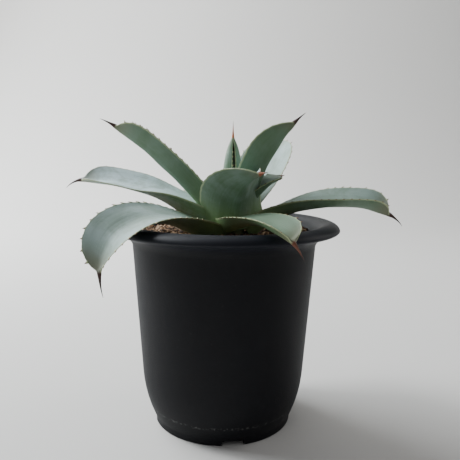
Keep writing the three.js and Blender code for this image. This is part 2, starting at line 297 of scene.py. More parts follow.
def settle(piece, name, finish):
    """The piece with its modifiers worked out, as a plain mesh object."""
    graph = bpy.context.evaluated_depsgraph_get()
    mesh = bpy.data.meshes.new_from_object(
        piece.evaluated_get(graph), preserve_all_data_layers=True, depsgraph=graph,
    )
    mesh.name = name
    piece.modifiers.clear()
    piece.data = mesh
    piece.name = name
    mesh.materials.clear()
    mesh.materials.append(finish)
    return piece


def join_frame(piece, slot, *nodes):
    """Rides the piece on the plant's one body and hides the frame parts that it stands for."""
    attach(piece, ROOT)
    if nodes:
        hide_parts(*nodes)


def turned(name, profile, segments, finish):
    """A lathe about the pot's axis of (radius, height) pairs in mm that start and end on the axis."""
    points = []
    for radius, height in profile[1:-1]:
        for k in range(segments):
            angle = 2 * math.pi * k / segments
            out = Vector((radius * math.cos(angle), radius * math.sin(angle), height))
            points.append(POT_AXIS + out * MM)
    faces = ring_faces(len(profile) - 2, segments)
    for end, ring in ((0, 0), (-1, len(profile) - 3)):
        points.append(POT_AXIS + Vector((0, 0, profile[end][1])) * MM)
        for k in range(segments):
            faces.append((len(points) - 1, ring * segments + k, ring * segments + (k + 1) % segments))
    piece = new_piece(name, points, faces, finish)
    face_outwards(piece)
    return piece


def curve_points(start, control, end, steps):
    """Points on a quadratic curve, without its first."""
    points = []
    for i in range(1, steps + 1):
        t = i / steps
        points.append(tuple(
            (1 - t) ** 2 * a + 2 * t * (1 - t) * b + t * t * c for a, b, c in zip(start, control, end)
        ))
    return points


# ------------------------------------------------------------------ shader maths


class Value:
    """A shader socket that Python's operators work on."""

    def __init__(self, finish, socket):
        self.finish = finish
        self.socket = socket

    def _maths(self, operation, a, b):
        return self.finish.node("ShaderNodeMath", {"operation": operation}, {0: a, 1: b})

    def __add__(self, other):
        return self._maths("ADD", self, other)

    __radd__ = __add__

    def __sub__(self, other):
        return self._maths("SUBTRACT", self, other)

    def __rsub__(self, other):
        return self._maths("SUBTRACT", other, self)

    def __mul__(self, other):
        return self._maths("MULTIPLY", self, other)

    __rmul__ = __mul__

    def size(self):
        return self._maths("ABSOLUTE", self, 0)

    def step(self, low, high):
        """0 below low, 1 above high, and smooth between."""
        return self.finish.node(
            "ShaderNodeMapRange", {"interpolation_type": "SMOOTHSTEP"},
            {"Value": self, "From Min": low, "From Max": high},
        )


class Finish:
    """One material, built from expressions."""

    def __init__(self, name):
        self.material = bpy.data.materials.new(name)
        self.material.use_nodes = True
        self.tree = self.material.node_tree
        self.shader = self.tree.nodes["Principled BSDF"]

    def node(self, kind, settings=None, inputs=None, output=0):
        made = self.tree.nodes.new(kind)
        for key, value in (settings or {}).items():
            if key == "stops":
                self._set_stops(made.color_ramp, value)
            else:
                setattr(made, key, value)
        for key, value in (inputs or {}).items():
            self._feed(made.inputs[key], value)
        return Value(self, made.outputs[output])

    def _set_stops(self, ramp, stops):
        while len(ramp.elements) < len(stops):
            ramp.elements.new(0.5)
        for element, (place, colour) in zip(ramp.elements, stops):
            element.position = place
            element.color = (*colour, 1)

    def _feed(self, socket, value):
        if isinstance(value, Value):
            self.tree.links.new(value.socket, socket)
        elif socket.type == "RGBA":
            socket.default_value = (*value[:3], 1)
        else:
            socket.default_value = value

    def set(self, **sockets):
        for key, value in sockets.items():
            self._feed(self.shader.inputs[key.replace("_", " ")], value)

    def place(self):
        """Object coordinates."""
        return self.node("ShaderNodeTexCoord", output="Object")

    def mark(self, name):
        """The piece's own attribute."""
        return self.node("ShaderNodeAttribute", {"attribute_name": name}, output="Fac")

    def axis(self, vector, letter):
        return self.node("ShaderNodeSeparateXYZ", None, {0: vector}, output=letter)

    def stretched(self, vector, scale):
        return self.node("ShaderNodeVectorMath", {"operation": "MULTIPLY"}, {0: vector, 1: scale})

    def noise(self, vector, size, detail=3.0, rough=0.55, warp=0.0):
        """Cloudy noise whose patches are about size across, in the vector's own units."""
        return self.node(
            "ShaderNodeTexNoise", None,
            {"Vector": vector, "Scale": 1 / size, "Detail": detail, "Roughness": rough, "Distortion": warp},
        )

    def cells(self, vector, size, output="Distance"):
        return self.node("ShaderNodeTexVoronoi", None, {"Vector": vector, "Scale": 1 / size}, output)

    def mix(self, share, first, second):
        return self.node(
            "ShaderNodeMix", {"data_type": "RGBA"}, {"Factor": share, 6: first, 7: second}, output=2,
        )

    def bump(self, height, depth):
        """Feeds the shader's normal with a bump of the given depth in metres."""
        normal = self.node("ShaderNodeBump", None, {"Strength": 1.0, "Distance": depth, "Height": height})
        self.set(Normal=normal)


def leaf_finish(plant, name, shade=1.0):
    """Waxy leaf skin: bloom, striations, pale horny margin that is partly painted backlight, dark end spine,
    and an under face darkened as painted shade.
    """
    skin = Finish(name)
    uv = skin.node("ShaderNodeUVMap", {"uv_map": "leaf"})
    across = (skin.axis(uv, "X") * 2 - 1).size()
    along = skin.axis(uv, "Y") * (1 / BLADE_SHARE)
    upper = skin.mark("upper")
    age = skin.mark("age")
    warm = skin.mark("warm")
    wax_and_shade = skin.mark("bloom")
    place = skin.place()
    clouds = skin.noise(place, 0.011, 4, 0.6, 0.4)
    mottle = skin.noise(place, 0.0022, 4, 0.6)
    streaks = skin.noise(skin.stretched(uv, (46, 2.6, 1)), 1.0, 3, 0.6)
    # Painted shade: the under face takes the darker under colour, and so does part of the upper face of a
    # leaf with little bloom.
    pale = upper * (wax_and_shade.step(0.0, 1.0) * 0.65 + 0.35)
    flesh_and_shade_colour = skin.mix(pale, plant.under_and_shade_colour, plant.leaf_colour)
    wax = clouds.step(0.36, 0.66) * 0.55 + streaks.step(0.3, 0.75) * 0.3 + 0.15
    bloomed = wax * (0.3 + upper * 0.6) * wax_and_shade
    colour = skin.mix(bloomed, flesh_and_shade_colour, plant.bloom_colour)
    young = along.step(0.45, 0.0) * (1.0 - upper * 0.35)
    colour = skin.mix(young * 0.75, colour, plant.foot_colour)
    colour = skin.mix(mottle.step(0.55, 0.8) * 0.22, colour, plant.under_and_shade_colour)
    tip = along.step(0.84, 0.99) * (0.25 + age * 0.5)
    colour = skin.mix(tip, colour, plant.tip_colour)
    # Partly painted light: the pale horny margin also stands in for light shining through the thin edge.
    margin = (across + along.step(0.86, 1.0) * 0.03).step(0.965, 0.99)
    colour = skin.mix(margin * 0.75, colour, plant.margin_and_backlight_colour)
    ripe = along.step(1.0, 1.1)
    dark_spine = skin.mix(ripe, plant.spine_foot_colour, plant.spine_colour)
    warm_spine = skin.mix(along.step(1.08, 1.17), plant.young_spine_colour, plant.spine_foot_colour)
    colour = skin.mix(along.step(0.985, 1.01), colour, skin.mix(warm, dark_spine, warm_spine))
    if shade != 1.0:
        colour = skin.mix(1 - shade, colour, HEART_SHADE)
    skin.set(Base_Color=colour)
    skin.set(Roughness=0.52 + clouds * 0.2 - along.step(0.985, 1.01) * 0.22)
    skin.set(IOR=1.42)
    skin.bump(streaks * 0.5 + mottle * 0.35 + clouds * 0.6, 0.00028)
    return skin.material


def tooth_finish(plant):
    """Horny marginal teeth: pale where they join the leaf, brown at the point."""
    horn = Finish("tooth_horn")
    grain = horn.noise(horn.place(), 0.0012, 3)
    point = (horn.mark("point") + grain * 0.3).step(0.3, 0.75)
    # The pale foot shares the margin colour, which is partly painted backlight.
    horn.set(Base_Color=horn.mix(point, plant.margin_and_backlight_colour, plant.tooth_colour))
    horn.set(Roughness=0.4 + grain * 0.2)
    horn.bump(grain, 0.0001)
    return horn.material


def pot_finish(pot):
    """Black moulded polypropylene: fine grain on the wall, smoother brim with a painted sheen, dust and a
    lime line.
    """
    plastic = Finish("pot_plastic_black")
    place = plastic.place()
    height = plastic.axis(place, "Z")
    grain = plastic.noise(place, 0.0007, 2, 0.5)
    clouds = plastic.noise(place, 0.03, 4, 0.6, 0.5)
    scuffs = plastic.noise(plastic.stretched(place, (1, 1, 0.25)), 0.004, 4, 0.65)
    brim = height.step(POT_HEIGHT - 10 * MM, POT_HEIGHT - 6 * MM)
    specks = 1 - plastic.cells(place, 0.0045).step(0.06, 0.1)
    dusty = clouds.step(0.45, 0.8) * 0.35 + scuffs.step(0.6, 0.85) * 0.25
    colour = plastic.mix(dusty, pot.colour, pot.worn_colour)
    # Painted sheen: the brim takes a lighter, bluer colour than the wall's plastic.
    colour = plastic.mix(brim * 0.6, colour, pot.brim_sheen_colour)
    line = height.step(9 * MM, 10.2 * MM) * (1 - height.step(10.2 * MM, 11.4 * MM))
    lime = line * plastic.noise(place, 0.0013, 2).step(0.5, 0.62) + specks * 0.12 * scuffs.step(0.4, 0.6)
    colour = plastic.mix(lime * 0.2, colour, pot.lime_colour)
    plastic.set(Base_Color=colour)
    plastic.set(Roughness=0.6 - brim * 0.08 + dusty * 0.2)
    plastic.set(IOR=1.49, Specular_IOR_Level=0.2)
    plastic.bump(grain * (1 - brim * 0.8) + scuffs * 0.5 * brim, 0.00012)
    return plastic.material


def grain_finish(name, colours, patch):
    """Stone or bark: every patch of space has its own shade, so neighbouring grains differ."""
    stone = Finish(name)
    place = stone.place()
    shade = stone.axis(stone.cells(place, patch, output="Color"), "X")
    stops = [(i / (len(colours) - 1), colour) for i, colour in enumerate(colours)]
    ramp = stone.node("ShaderNodeValToRGB", {"stops": stops}, {0: shade})
    pits = stone.noise(place, 0.0005, 3, 0.7)
    stone.set(Base_Color=stone.mix(pits.step(0.35, 0.7) * 0.35, ramp, colours[0]))
    stone.set(Roughness=0.85 + pits * 0.12)
    stone.bump(pits, 0.0003)
    return stone.material


def stem_finish():
    """Pale fleshy crown above the mix, corky brown roots below."""
    flesh = Finish("stem_flesh")
    place = flesh.place()
    height = flesh.axis(place, "Z")
    fibres = flesh.noise(flesh.stretched(place, (1, 1, 0.3)), 0.0015, 4, 0.6)
    above = height.step(MIX_LEVEL - 4 * MM, MIX_LEVEL + 1 * MM)
    cork = flesh.mix(fibres, (0.12, 0.06, 0.03), (0.34, 0.22, 0.12))
    green = flesh.mix(fibres, (0.18, 0.22, 0.08), (0.42, 0.45, 0.22))
    flesh.set(Base_Color=flesh.mix(above, cork, green))
    flesh.set(Roughness=0.6 + fibres * 0.25)
    flesh.bump(fibres, 0.0004)
    return flesh.material


# ------------------------------------------------------------------ settings


def colour_setting(name, description, default):
    return bpy.props.FloatVectorProperty(
        name=name, description=description, subtype="COLOR", size=3, min=0, max=1, default=default,
    )


def length_setting(name, description, default):
    return bpy.props.FloatProperty(
        name=name, description=description, default=default, min=0, subtype="DISTANCE", unit="LENGTH",
    )


class AgavePlantSettings(bpy.types.PropertyGroup):
    leaf_colour: colour_setting("Leaf, upper face", "Flesh of a leaf's upper face", (0.24, 0.318, 0.268))
    # Painted shade: the under face's flesh is darker than the upper face's.
    under_and_shade_colour: colour_setting("Leaf, under face", "Flesh of a leaf's under face", (0.1, 0.175, 0.09))
    bloom_colour: colour_setting("Bloom", "The wax that whitens a leaf", (0.5, 0.625, 0.65))
    foot_colour: colour_setting("Leaf foot", "Young flesh at a leaf's foot", (0.24, 0.36, 0.13))
    tip_colour: colour_setting("Leaf tip", "Tinge of an old leaf's tip", (0.17, 0.15, 0.09))
    # Partly painted backlight: a real horny margin, made pale to stand in for light through the thin edge.
    margin_and_backlight_colour: colour_setting("Margin", "Horny line along a leaf's edge", (0.46, 0.53, 0.3))
    tooth_colour: colour_setting("Teeth", "Points of the marginal teeth", (0.16, 0.075, 0.035))
    spine_foot_colour: colour_setting("Spine foot", "Foot of an old end spine", (0.035, 0.014, 0.011))
    spine_colour: colour_setting("Spine", "Old end spine near its point", (0.016, 0.01, 0.01))
    young_spine_colour: colour_setting("Young spine", "End spine of a young leaf", (0.55, 0.16, 0.06))
    tooth_length: length_setting("Tooth length", "How far a full tooth stands out", 1.5 * MM)


class AgavePotSettings(bpy.types.PropertyGroup):
    colour: colour_setting("Plastic", "Clean black plastic", (0.0035, 0.0038, 0.0055))
    worn_colour: colour_setting("Dusty plastic", "Where dust and scuffs have dulled it", (0.01, 0.011, 0.014))
    # Painted sheen: the brim's colour is lighter and bluer than the wall's plastic.
    brim_sheen_colour: colour_setting("Brim", "The smoother rolled brim", (0.012, 0.014, 0.021))
    lime_colour: colour_setting("Lime", "Dried specks of hard water", (0.3, 0.3, 0.29))
    wall: length_setting("Wall", "Thickness of the pot's wall", 1.6 * MM)


class AgaveMixSettings(bpy.types.PropertyGroup):
    grain: length_setting("Grain", "Across a usual grain of pumice", 3.1 * MM)
    seed: bpy.props.IntProperty(name="Seed", description="Where the loose grains lie", default=4, min=0)


class AgaveStageSettings(bpy.types.PropertyGroup):
    floor_colour: colour_setting("Floor", "Plain pale floor", (0.62, 0.61, 0.59))
    lens: bpy.props.FloatProperty(
        name="Lens", description="Focal length on a 36 mm sensor", default=43.0, min=1, unit="CAMERA",
    )
    distance: length_setting("Distance", "From the camera to the pot's axis, level", 287 * MM)
    eye_height: length_setting("Eye height", "Of the camera above the floor", 143 * MM)
    pitch: bpy.props.FloatProperty(
        name="Pitch", description="How far the camera looks down", default=math.radians(8.2),
        subtype="ANGLE",
    )
    roll: bpy.props.FloatProperty(
        name="Roll", description="How far the camera leans to its left", default=math.radians(0.69),
        subtype="ANGLE",
    )


# ------------------------------------------------------------------ operators


class AGAVE_OT_stage(bpy.types.Operator):
    """Floor, soft studio light and camera"""

    bl_idname = "agave.stage"
    bl_label = "Stage"

    def execute(self, context):
        stage = context.scene.agave_stage
        self.add_floor(stage)
        self.add_lights(context.scene)
        self.add_camera(context.scene, stage)
        return {"FINISHED"}

    def add_floor(self, stage):
        finish = Finish("floor_paper")
        fibres = finish.noise(finish.place(), 0.004, 3)
        pale = stage.floor_colour
        finish.set(Base_Color=finish.mix(fibres, tuple(c * 0.985 for c in pale), tuple(pale)))
        finish.set(Roughness=0.9)
        near, sweep, bend, rise, side = 0.9, 0.6, 0.5, 1.6, 1.6  # metres
        profile = [(-near, 0), (sweep, 0)]
        profile += curve_points((sweep, 0), (sweep + bend, 0), (sweep + bend, bend), 16)
        profile += [(sweep + bend, rise)]
        points = [(x, y, z) for y, z in profile for x in (-side, side)]
        faces = [(2 * i, 2 * i + 1, 2 * i + 3, 2 * i + 2) for i in range(len(profile) - 1)]
        new_piece("floor_sweep", points, faces, finish.material)

    def add_lights(self, scene):
        world = bpy.data.worlds.new("soft_room")
        world.use_nodes = True
        sky = world.node_tree.nodes["Background"]
        sky.inputs["Color"].default_value = (0.8, 0.82, 0.85, 1)
        sky.inputs["Strength"].default_value = 0.26
        scene.world = world
        middle = POT_AXIS + Vector((0, 0, POT_HEIGHT))
        self.add_panel("window_light", middle, Vector((-0.75, 0.4, 0.6)), 0.9, 25, (0.92, 0.97, 1.0))
        self.add_panel("front_fill", middle, Vector((-0.6, -0.9, 0.7)), 0.8, 1.2, (1.0, 0.98, 0.95))
        self.add_panel("right_glow", middle, Vector((0.9, 0.35, 0.4)), 0.5, 2.5, (1.0, 0.98, 0.96))
        backdrop = Vector((-0.6, 1.1, 0.9))
        self.add_panel("wall_wash", backdrop, Vector((-0.4, -0.8, 0.3)), 0.6, 34, (0.98, 0.99, 1.0))

    def add_panel(self, name, target, offset, size, power, colour):
        light = bpy.data.lights.new(name, "AREA")
        light.shape = "SQUARE"
        light.size = size
        light.energy = power
        light.color = colour
        lamp = new_object(name, light)
        lamp.location = target + offset
        lamp.rotation_euler = (-offset).to_track_quat("-Z", "Y").to_euler()

    def add_camera(self, scene, stage):
        lens = bpy.data.cameras.new("camera")
        lens.sensor_width = 36
        lens.lens = stage.lens
        lens.clip_start = 0.01
        camera = new_object("camera", lens)
        spot = POT_AXIS + Vector((3 * MM, -stage.distance, stage.eye_height))
        turn = Matrix.Rotation(math.pi / 2 - stage.pitch, 4, "X") @ Matrix.Rotation(stage.roll, 4, "Z")
        camera.matrix_world = Matrix.Translation(spot) @ turn
        scene.camera = camera


class AGAVE_OT_pot(bpy.types.Operator):
    """The tapered pot with its rolled brim, foot ring and drain holes"""

    bl_idname = "agave.pot"
    bl_label = "Pot"

    def execute(self, context):
        settings = context.scene.agave_pot
        finish = pot_finish(settings)
        shell = turned("pot_shell", self.profile(settings.wall / MM), 176, finish)
        cutters = self.cutters()
        cut = shell.modifiers.new("openings", "BOOLEAN")
        cut.operation = "DIFFERENCE"
        cut.solver = "EXACT"
        cut.object = cutters
        settle(shell, "pot_shell", finish)
        bpy.data.objects.remove(cutters)
        shell.data.set_sharp_from_angle(angle=math.radians(42))
        join_frame(shell, "pot_plastic", "pot")
        return {"FINISHED"}

    def profile(self, wall):
        height = POT_HEIGHT / MM
        neck, shoulder, foot = (47.8, 95.0), (43.0, 28.0), (36.5, 3.0)
        edge, crest = (60.0, 103.4), (54.0, height)
        recess = 5.6
        inner_foot = (foot[0] - wall - 1, recess + wall)
        inner_shoulder = (shoulder[0] - wall, shoulder[1])
        throat = (neck[0] - wall, neck[1] + 1)
        points = [(0, recess), (31, recess), (32.6, recess - 0.2), (33.4, recess - 1.2)]
        points += [(33.5, 0.5), (33.9, 0), (36.0, 0), (36.4, 0.35), (36.5, 1.0), foot]
        points += curve_points(foot, (42.2, 15), shoulder, 18)
        steps = 12
        for t in range(1, steps + 1):
            points.append(tuple(low + (high - low) * t / steps for low, high in zip(shoulder, neck)))
        points += curve_points(neck, (48.7, 99.6), (57.0, 101.7), 12)
        points += curve_points((57.0, 101.7), (59.9, 102.3), edge, 5)
        points += curve_points(edge, (59.4, height - 0.5), crest, 10)
        points += curve_points(crest, (47.6, height - 0.4), throat, 14)
        points += [inner_shoulder]
        points += curve_points(inner_shoulder, (40.4, 16), inner_foot, 10)
        return points + [(0, inner_foot[1])]

    def cutters(self):
        work = bmesh.new()
        ring, hole, notch_ring, first_notch = 21, 4, 36.5, 9  # mm, and degrees for the last
        spots = [(0, 0)]
        spots += [(ring * math.cos(k * math.pi / 3), ring * math.sin(k * math.pi / 3)) for k in range(6)]
        for x, y in spots:
            place = Matrix.Translation(POT_AXIS + Vector((x, y, 6)) * MM)
            bmesh.ops.create_cone(
                work, cap_ends=True, segments=40, radius1=hole * MM, radius2=hole * MM, depth=12 * MM,
                matrix=place,
            )
        for k in range(4):
            turn = Matrix.Rotation(math.radians(first_notch + 90 * k), 4, "Z")
            place = Matrix.Translation(POT_AXIS) @ turn @ Matrix.Translation(Vector((notch_ring, 0, 0)) * MM)
            size = Matrix.Diagonal((12 * MM, 11 * MM, 5.2 * MM, 1))
            bmesh.ops.create_cube(work, size=1, matrix=place @ size)
        mesh = bpy.data.meshes.new("pot_cutters")
        work.to_mesh(mesh)
        work.free()
        return new_object("pot_cutters", mesh)


class AGAVE_OT_mix(bpy.types.Operator):
    """The bed of potting mix and the loose grit that lies on it"""

    bl_idname = "agave.mix"
    bl_label = "Potting mix"

    def execute(self, context):
        settings = context.scene.agave_mix
        earth = grain_finish(
            "mix_earth", [(0.03, 0.02, 0.012), (0.1, 0.065, 0.04), (0.22, 0.15, 0.1)], 0.0016,
        )
        pumice = grain_finish(
            "mix_pumice", [(0.12, 0.06, 0.03), (0.42, 0.24, 0.13), (0.66, 0.47, 0.32), (0.3, 0.16, 0.08)],
            0.0026,
        )
        bark = grain_finish(
            "mix_bark", [(0.025, 0.014, 0.009), (0.075, 0.04, 0.022), (0.16, 0.09, 0.05)], 0.0024,
        )
        bed = self.bed(earth)
        join_frame(bed, "potting_mix", "potting_mix")
        for name, finish, spacing, size, squash, seed in (
            ("mix_pumice_grains", pumice, 1.35, 1.0, 0.8, settings.seed),
            ("mix_bark_chips", bark, 2.4, 1.3, 0.45, settings.seed + 7),
        ):
            grains = self.scatter(name, finish, spacing, settings.grain * size, squash, seed)
            join_frame(grains, "potting_mix")
        return {"FINISHED"}

    def surface_height(self, x, y):
        """The bed's uneven top, in mm, at a place in mm from the pot's axis."""
        lumps = noise.noise(Vector((x / 9, y / 9, 3.1))) * 1.1
        lumps += noise.noise(Vector((x / 3, y / 3, 8.4))) * 0.5
        ridge = 1.2 * smooth((math.hypot(x, y) - 34) / 10)
        return MIX_LEVEL / MM - 0.6 + lumps * 0.6 + ridge * 0.4

    def bed(self, finish):
        top = MIX_LEVEL / MM
        profile = [(0, 7.6), (33.5, 7.6)] + curve_points((33.5, 7.6), (39.0, 17), (41.0, 28), 6)
        profile += [(45.6, 95), (45.8, top - 0.5)] + [(45 - 2.2 * k, top) for k in range(20)] + [(0, top)]
        bed = turned("mix_bed", profile, 120, finish)
        for vertex in bed.data.vertices:
            place = (vertex.co - POT_AXIS) / MM
            if place.z > top - 1:
                vertex.co.z = self.surface_height(place.x, place.y) * MM
        return bed

    def scatter(self, name, finish, spacing, size, squash, seed):
        """Grains strewn over the bed by Geometry Nodes."""
        points = []
        rings, segments = 12, 40
        stem_clear, wall_clear, above = 6, 45.4, 0.3
        for i in range(rings + 1):
            radius = stem_clear + (wall_clear - stem_clear) * i / rings
            for k in range(segments):
                angle = 2 * math.pi * k / segments
                x, y = radius * math.cos(angle), radius * math.sin(angle)
                points.append(POT_AXIS + Vector((x, y, self.surface_height(x, y) + above)) * MM)
        faces = [(a, d, c, b) for a, b, c, d in ring_faces(rings + 1, segments)]  # these face up
        ground = new_piece(name, points, faces, finish)
        strew(ground, grain_tree(), {
            "Spacing": spacing * MM, "Grain": size, "Squash": squash, "Seed": seed, "Finish": finish,
        })
        return settle(ground, name, finish)


class AGAVE_OT_stem(bpy.types.Operator):
    """The short stem's crown and its roots"""

    bl_idname = "agave.stem"
    bl_label = "Stem"
    roots = 5

    def execute(self, context):
        stations = [  # height and radius, in mm
            (72, 2.2), (80, 4.8), (88, 6.2), (95, 6.9), (99, 7.0), (103, 6.4), (107, 5.3), (110, 4.6),
            (111.8, 3.2),
        ]
        per_ring = 40
        points = []
        for height, radius in stations:
            for k in range(per_ring):
                angle = 2 * math.pi * k / per_ring
                scar = 0.25 * math.sin(angle * 5 + height * 0.9) + 0.15 * math.sin(angle * 13)
                out = Vector(((radius + scar) * math.cos(angle), (radius + scar) * math.sin(angle), height))
                points.append(to_place(out))
        stem = new_piece("stem_crown", points, closed_rings(len(stations), per_ring), stem_finish())
        for index in range(self.roots):
            self.add_root(stem, index)
        face_outwards(stem)
        join_frame(stem, "stem_tissue", "stem")
        return {"FINISHED"}

    def add_root(self, stem, index):
        heading = 2 * math.pi * (index + 0.3) / self.roots
        out = Vector((math.cos(heading), math.sin(heading), 0))
        across = Vector((-out.y, out.x, 0))
        reach = 46 * (0.55 + 0.08 * index)

        def centre(t):
            wander = out * (2 + reach * math.sin(t * math.pi / 2) * 0.62)
            wander += across * (4 * math.sin(3 * t + index))
            return Vector((0, 0, 88)) + wander - Vector((0, 0, 42 * t * t))

        steps, per_ring = 24, 12
        points = []
        for i in range(steps + 1):
            t = i / steps
            along = (centre(t + 0.01) - centre(t - 0.01)).normalized()
            side = (across - along * across.dot(along)).normalized()
            up = along.cross(side)
            radius = 1.7 * (1 - 0.7 * t) * (1 + 0.1 * math.sin(i * 1.7))
            for k in range(per_ring):
                turn = 2 * math.pi * k / per_ring
                rim = centre(t) + side * radius * math.cos(turn) + up * radius * math.sin(turn)
                points.append(to_place(rim))
        mesh = stem.data
        work = bmesh.new()
        work.from_mesh(mesh)
        added = [work.verts.new(p) for p in points]
        for face in closed_rings(steps + 1, per_ring):
            work.faces.new([added[k] for k in face]).smooth = True
        work.to_mesh(mesh)
        work.free()


class AGAVE_OT_leaves(bpy.types.Operator):
    """Every open leaf, each with its end spine, and the teeth along its margins"""

    bl_idname = "agave.leaves"
    bl_label = "Open leaves"

    def execute(self, context):
        plant = context.scene.agave_plant
        skin = leaf_finish(plant, "leaf_skin_waxy")
        horn = tooth_finish(plant)
        for index, (node, shape) in enumerate(LEAVES.items()):
            leaf = {**USUAL, **shape}
            blade = leaf_blade(node + "_blade", leaf, index, skin)
            join_frame(blade, "leaf_skin", node)
            teeth = self.teeth(node + "_teeth", leaf, index, horn, plant.tooth_length)
            join_frame(teeth, "leaf_skin")
        return {"FINISHED"}

    def teeth(self, name, leaf, index, horn, length):
        stations = midrib(leaf, tooth_count(leaf) * 2)
        rooted, aimed_from, forward = 0.985, 0.8, 0.25  # the first two as shares of the half width
        feet = []
        for s, centre, way in stations[2:-1:2]:
            if s < TEETH_FROM or s > TEETH_TO:
                continue
            for edge in (-1, 1):
                foot = blade_point(leaf, s, centre, way, edge * rooted, 0)
                inner = blade_point(leaf, s, centre, way, edge * aimed_from, 0)
                outward = ((foot - inner).normalized() + way[0] * forward).normalized()
                feet.append((to_place(foot), outward, way[0]))
        return tooth_piece(name, feet, length * leaf["teeth"], TOOTH_SEED + index, horn)


class AGAVE_OT_core(bpy.types.Operator):
    """The furled central spear: an outer leaf rolled round a younger one"""

    bl_idname = "agave.core"
    bl_label = "Furled core"

    def execute(self, context):
        plant = context.scene.agave_plant
        outer = self.spear("leaf_core_outer", CORE_OUTER, leaf_finish(plant, "leaf_skin_core"))
        join_frame(outer, "leaf_skin", "leaf_core")
        inner_skin = leaf_finish(plant, "leaf_skin_heart", 0.2)
        inner = self.spear("leaf_core_heart", CORE_HEART, inner_skin)
        join_frame(inner, "leaf_skin")
        first, gap, count = 0.32, 0.06, 9  # the first two as shares of the spear's length
        feet = []
        for i in range(count):
            s = first + gap * i
            for side in (-1, 1):
                edge = self.edge_point(CORE_OUTER, s, side)
                across = self.edge_point(CORE_OUTER, s, -side)
                outward = ((across - edge).normalized() + Vector((0, -0.6, 0.3))).normalized()
                feet.append((edge, outward, Vector((0, 0, 1))))
        short = plant.tooth_length * 0.75
        teeth = tooth_piece("leaf_core_teeth", feet, short, CORE_TOOTH_SEED, tooth_finish(plant))
        join_frame(teeth, "leaf_skin")
        return {"FINISHED"}

    def radius(self, full, s):
        return math.hypot(full * (1 - s ** 3.6) ** 0.8, 0.7)

    def ring_point(self, radius, turn, lean, height):
        """A point at a turn from the slit's far side, with the slit turned by lean degrees to the right."""
        angle = math.pi / 2 + turn + math.radians(lean)
        return to_place(Vector((radius * math.cos(angle), radius * math.sin(angle), height)))

    def edge_point(self, roll, s, side):
        radius = self.radius(roll["full"], s)
        return self.ring_point(radius, side * roll["furl"], roll["lean"], CORE_FOOT + roll["length"] * s)

    def spear(self, name, roll, finish):
        steps, half, spine_steps = 60, 26, 12
        furl, lean = roll["furl"], roll["lean"]
        points, uvs, uppers = [], [], []
        for i in range(steps + spine_steps + 1):
            s = min(i / steps, 1)
            t = max(i - steps, 0) / spine_steps
            radius = self.radius(roll["full"], s) * (0.45 * (1 - t) ** 3 + 0.55 * (1 - t)) + 0.04
            height = CORE_FOOT + roll["length"] * s + roll["spine"] * t
            inner = max(radius - CORE_WALL * (1 - s) - 0.25 * radius, radius * 0.55)
            closing = furl + (math.pi - furl - 0.02) * smooth((s - 0.86) / 0.14)
            along = BLADE_SHARE * s + (1 - BLADE_SHARE) * t
            for k in range(-half, half + 1):
                points.append(self.ring_point(radius, closing * k / half, lean, height))
                uvs.append((0.5 + 0.5 * k / half, along))
                uppers.append(0.0)
            for k in range(half, -half - 1, -1):
                points.append(self.ring_point(inner, closing * k / half, lean, height))
                uvs.append((0.5 + 0.5 * k / half, along))
                uppers.append(1.0)
        piece = new_piece(name, points, closed_rings(steps + spine_steps + 1, 4 * half + 2), finish)
        mark_leaf(piece, uvs, {"upper": uppers, "age": 0.1, "warm": 1.0, "bloom": 0.8})
        face_outwards(piece, merge=False)
        return piece


# ------------------------------------------------------------------ leaf making


def leaf_blade(name, leaf, index, finish):
    """One leaf with its end spine as one closed skin."""
    blade_steps, half, spine_steps = 120, 13, 14
    stations = midrib(leaf, blade_steps)
    steps_across = [math.sin(math.pi / 2 * k / half) for k in range(-half, half + 1)]
    points, uvs, uppers = [], [], []

    def add(point, u, along, upper):
        points.append(to_place(point))
        uvs.append((0.5 + 0.5 * u, along))
        uppers.append(upper)

    for s, centre, way in stations:
        into_spine = smooth((s - 0.95) / 0.05)
        swell = SPINE_RADIUS * into_spine
        below = flesh(leaf, s) * (1 - into_spine) + swell
        along = s * BLADE_SHARE
        for u in steps_across:
            lift = -EDGE - below * (1 - abs(u) ** KEEL_CURVE) + leaf_relief(leaf, index, s, u)
            add(blade_point(leaf, s, centre, way, u, lift), u, along, 0.0)
        add(blade_point(leaf, s, centre, way, 1, 0) + way[1] * EDGE, 1, along, 0.5)
        for u in reversed(steps_across):
            lift = EDGE + swell * math.sqrt(1 - u * u) + leaf_relief(leaf, index, s, u)
            add(blade_point(leaf, s, centre, way, u, lift), u, along, 1.0)
        add(blade_point(leaf, s, centre, way, -1, 0) - way[1] * EDGE, -1, along, 0.5)
    for t, centre, way in spine_stations(leaf, stations[-1][1], spine_steps):
        radius = SPINE_RADIUS * (0.55 * (1 - t) ** 4 + 0.45 * (1 - t) ** 0.9) + 0.05
        edge = EDGE * (1 - t)
        along = BLADE_SHARE + (1 - BLADE_SHARE) * t
        for u in steps_across:
            out = way[2] * (edge + radius * math.sqrt(1 - u * u))
            add(centre + way[1] * radius * u - out, u, along, 0.0)
        add(centre + way[1] * (radius + edge), 1, along, 0.5)
        for u in reversed(steps_across):
            out = way[2] * (edge + radius * math.sqrt(1 - u * u))
            add(centre + way[1] * radius * u + out, u, along, 1.0)
        add(centre - way[1] * (radius + edge), -1, along, 0.5)
    rings = blade_steps + spine_steps + 1
    piece = new_piece(name, points, closed_rings(rings, len(points) // rings), finish)
    mark_leaf(piece, uvs, {"upper": uppers, "age": leaf["age"], "warm": leaf["warm"], "bloom": leaf["bloom"]})
    face_outwards(piece, merge=False)
    return piece


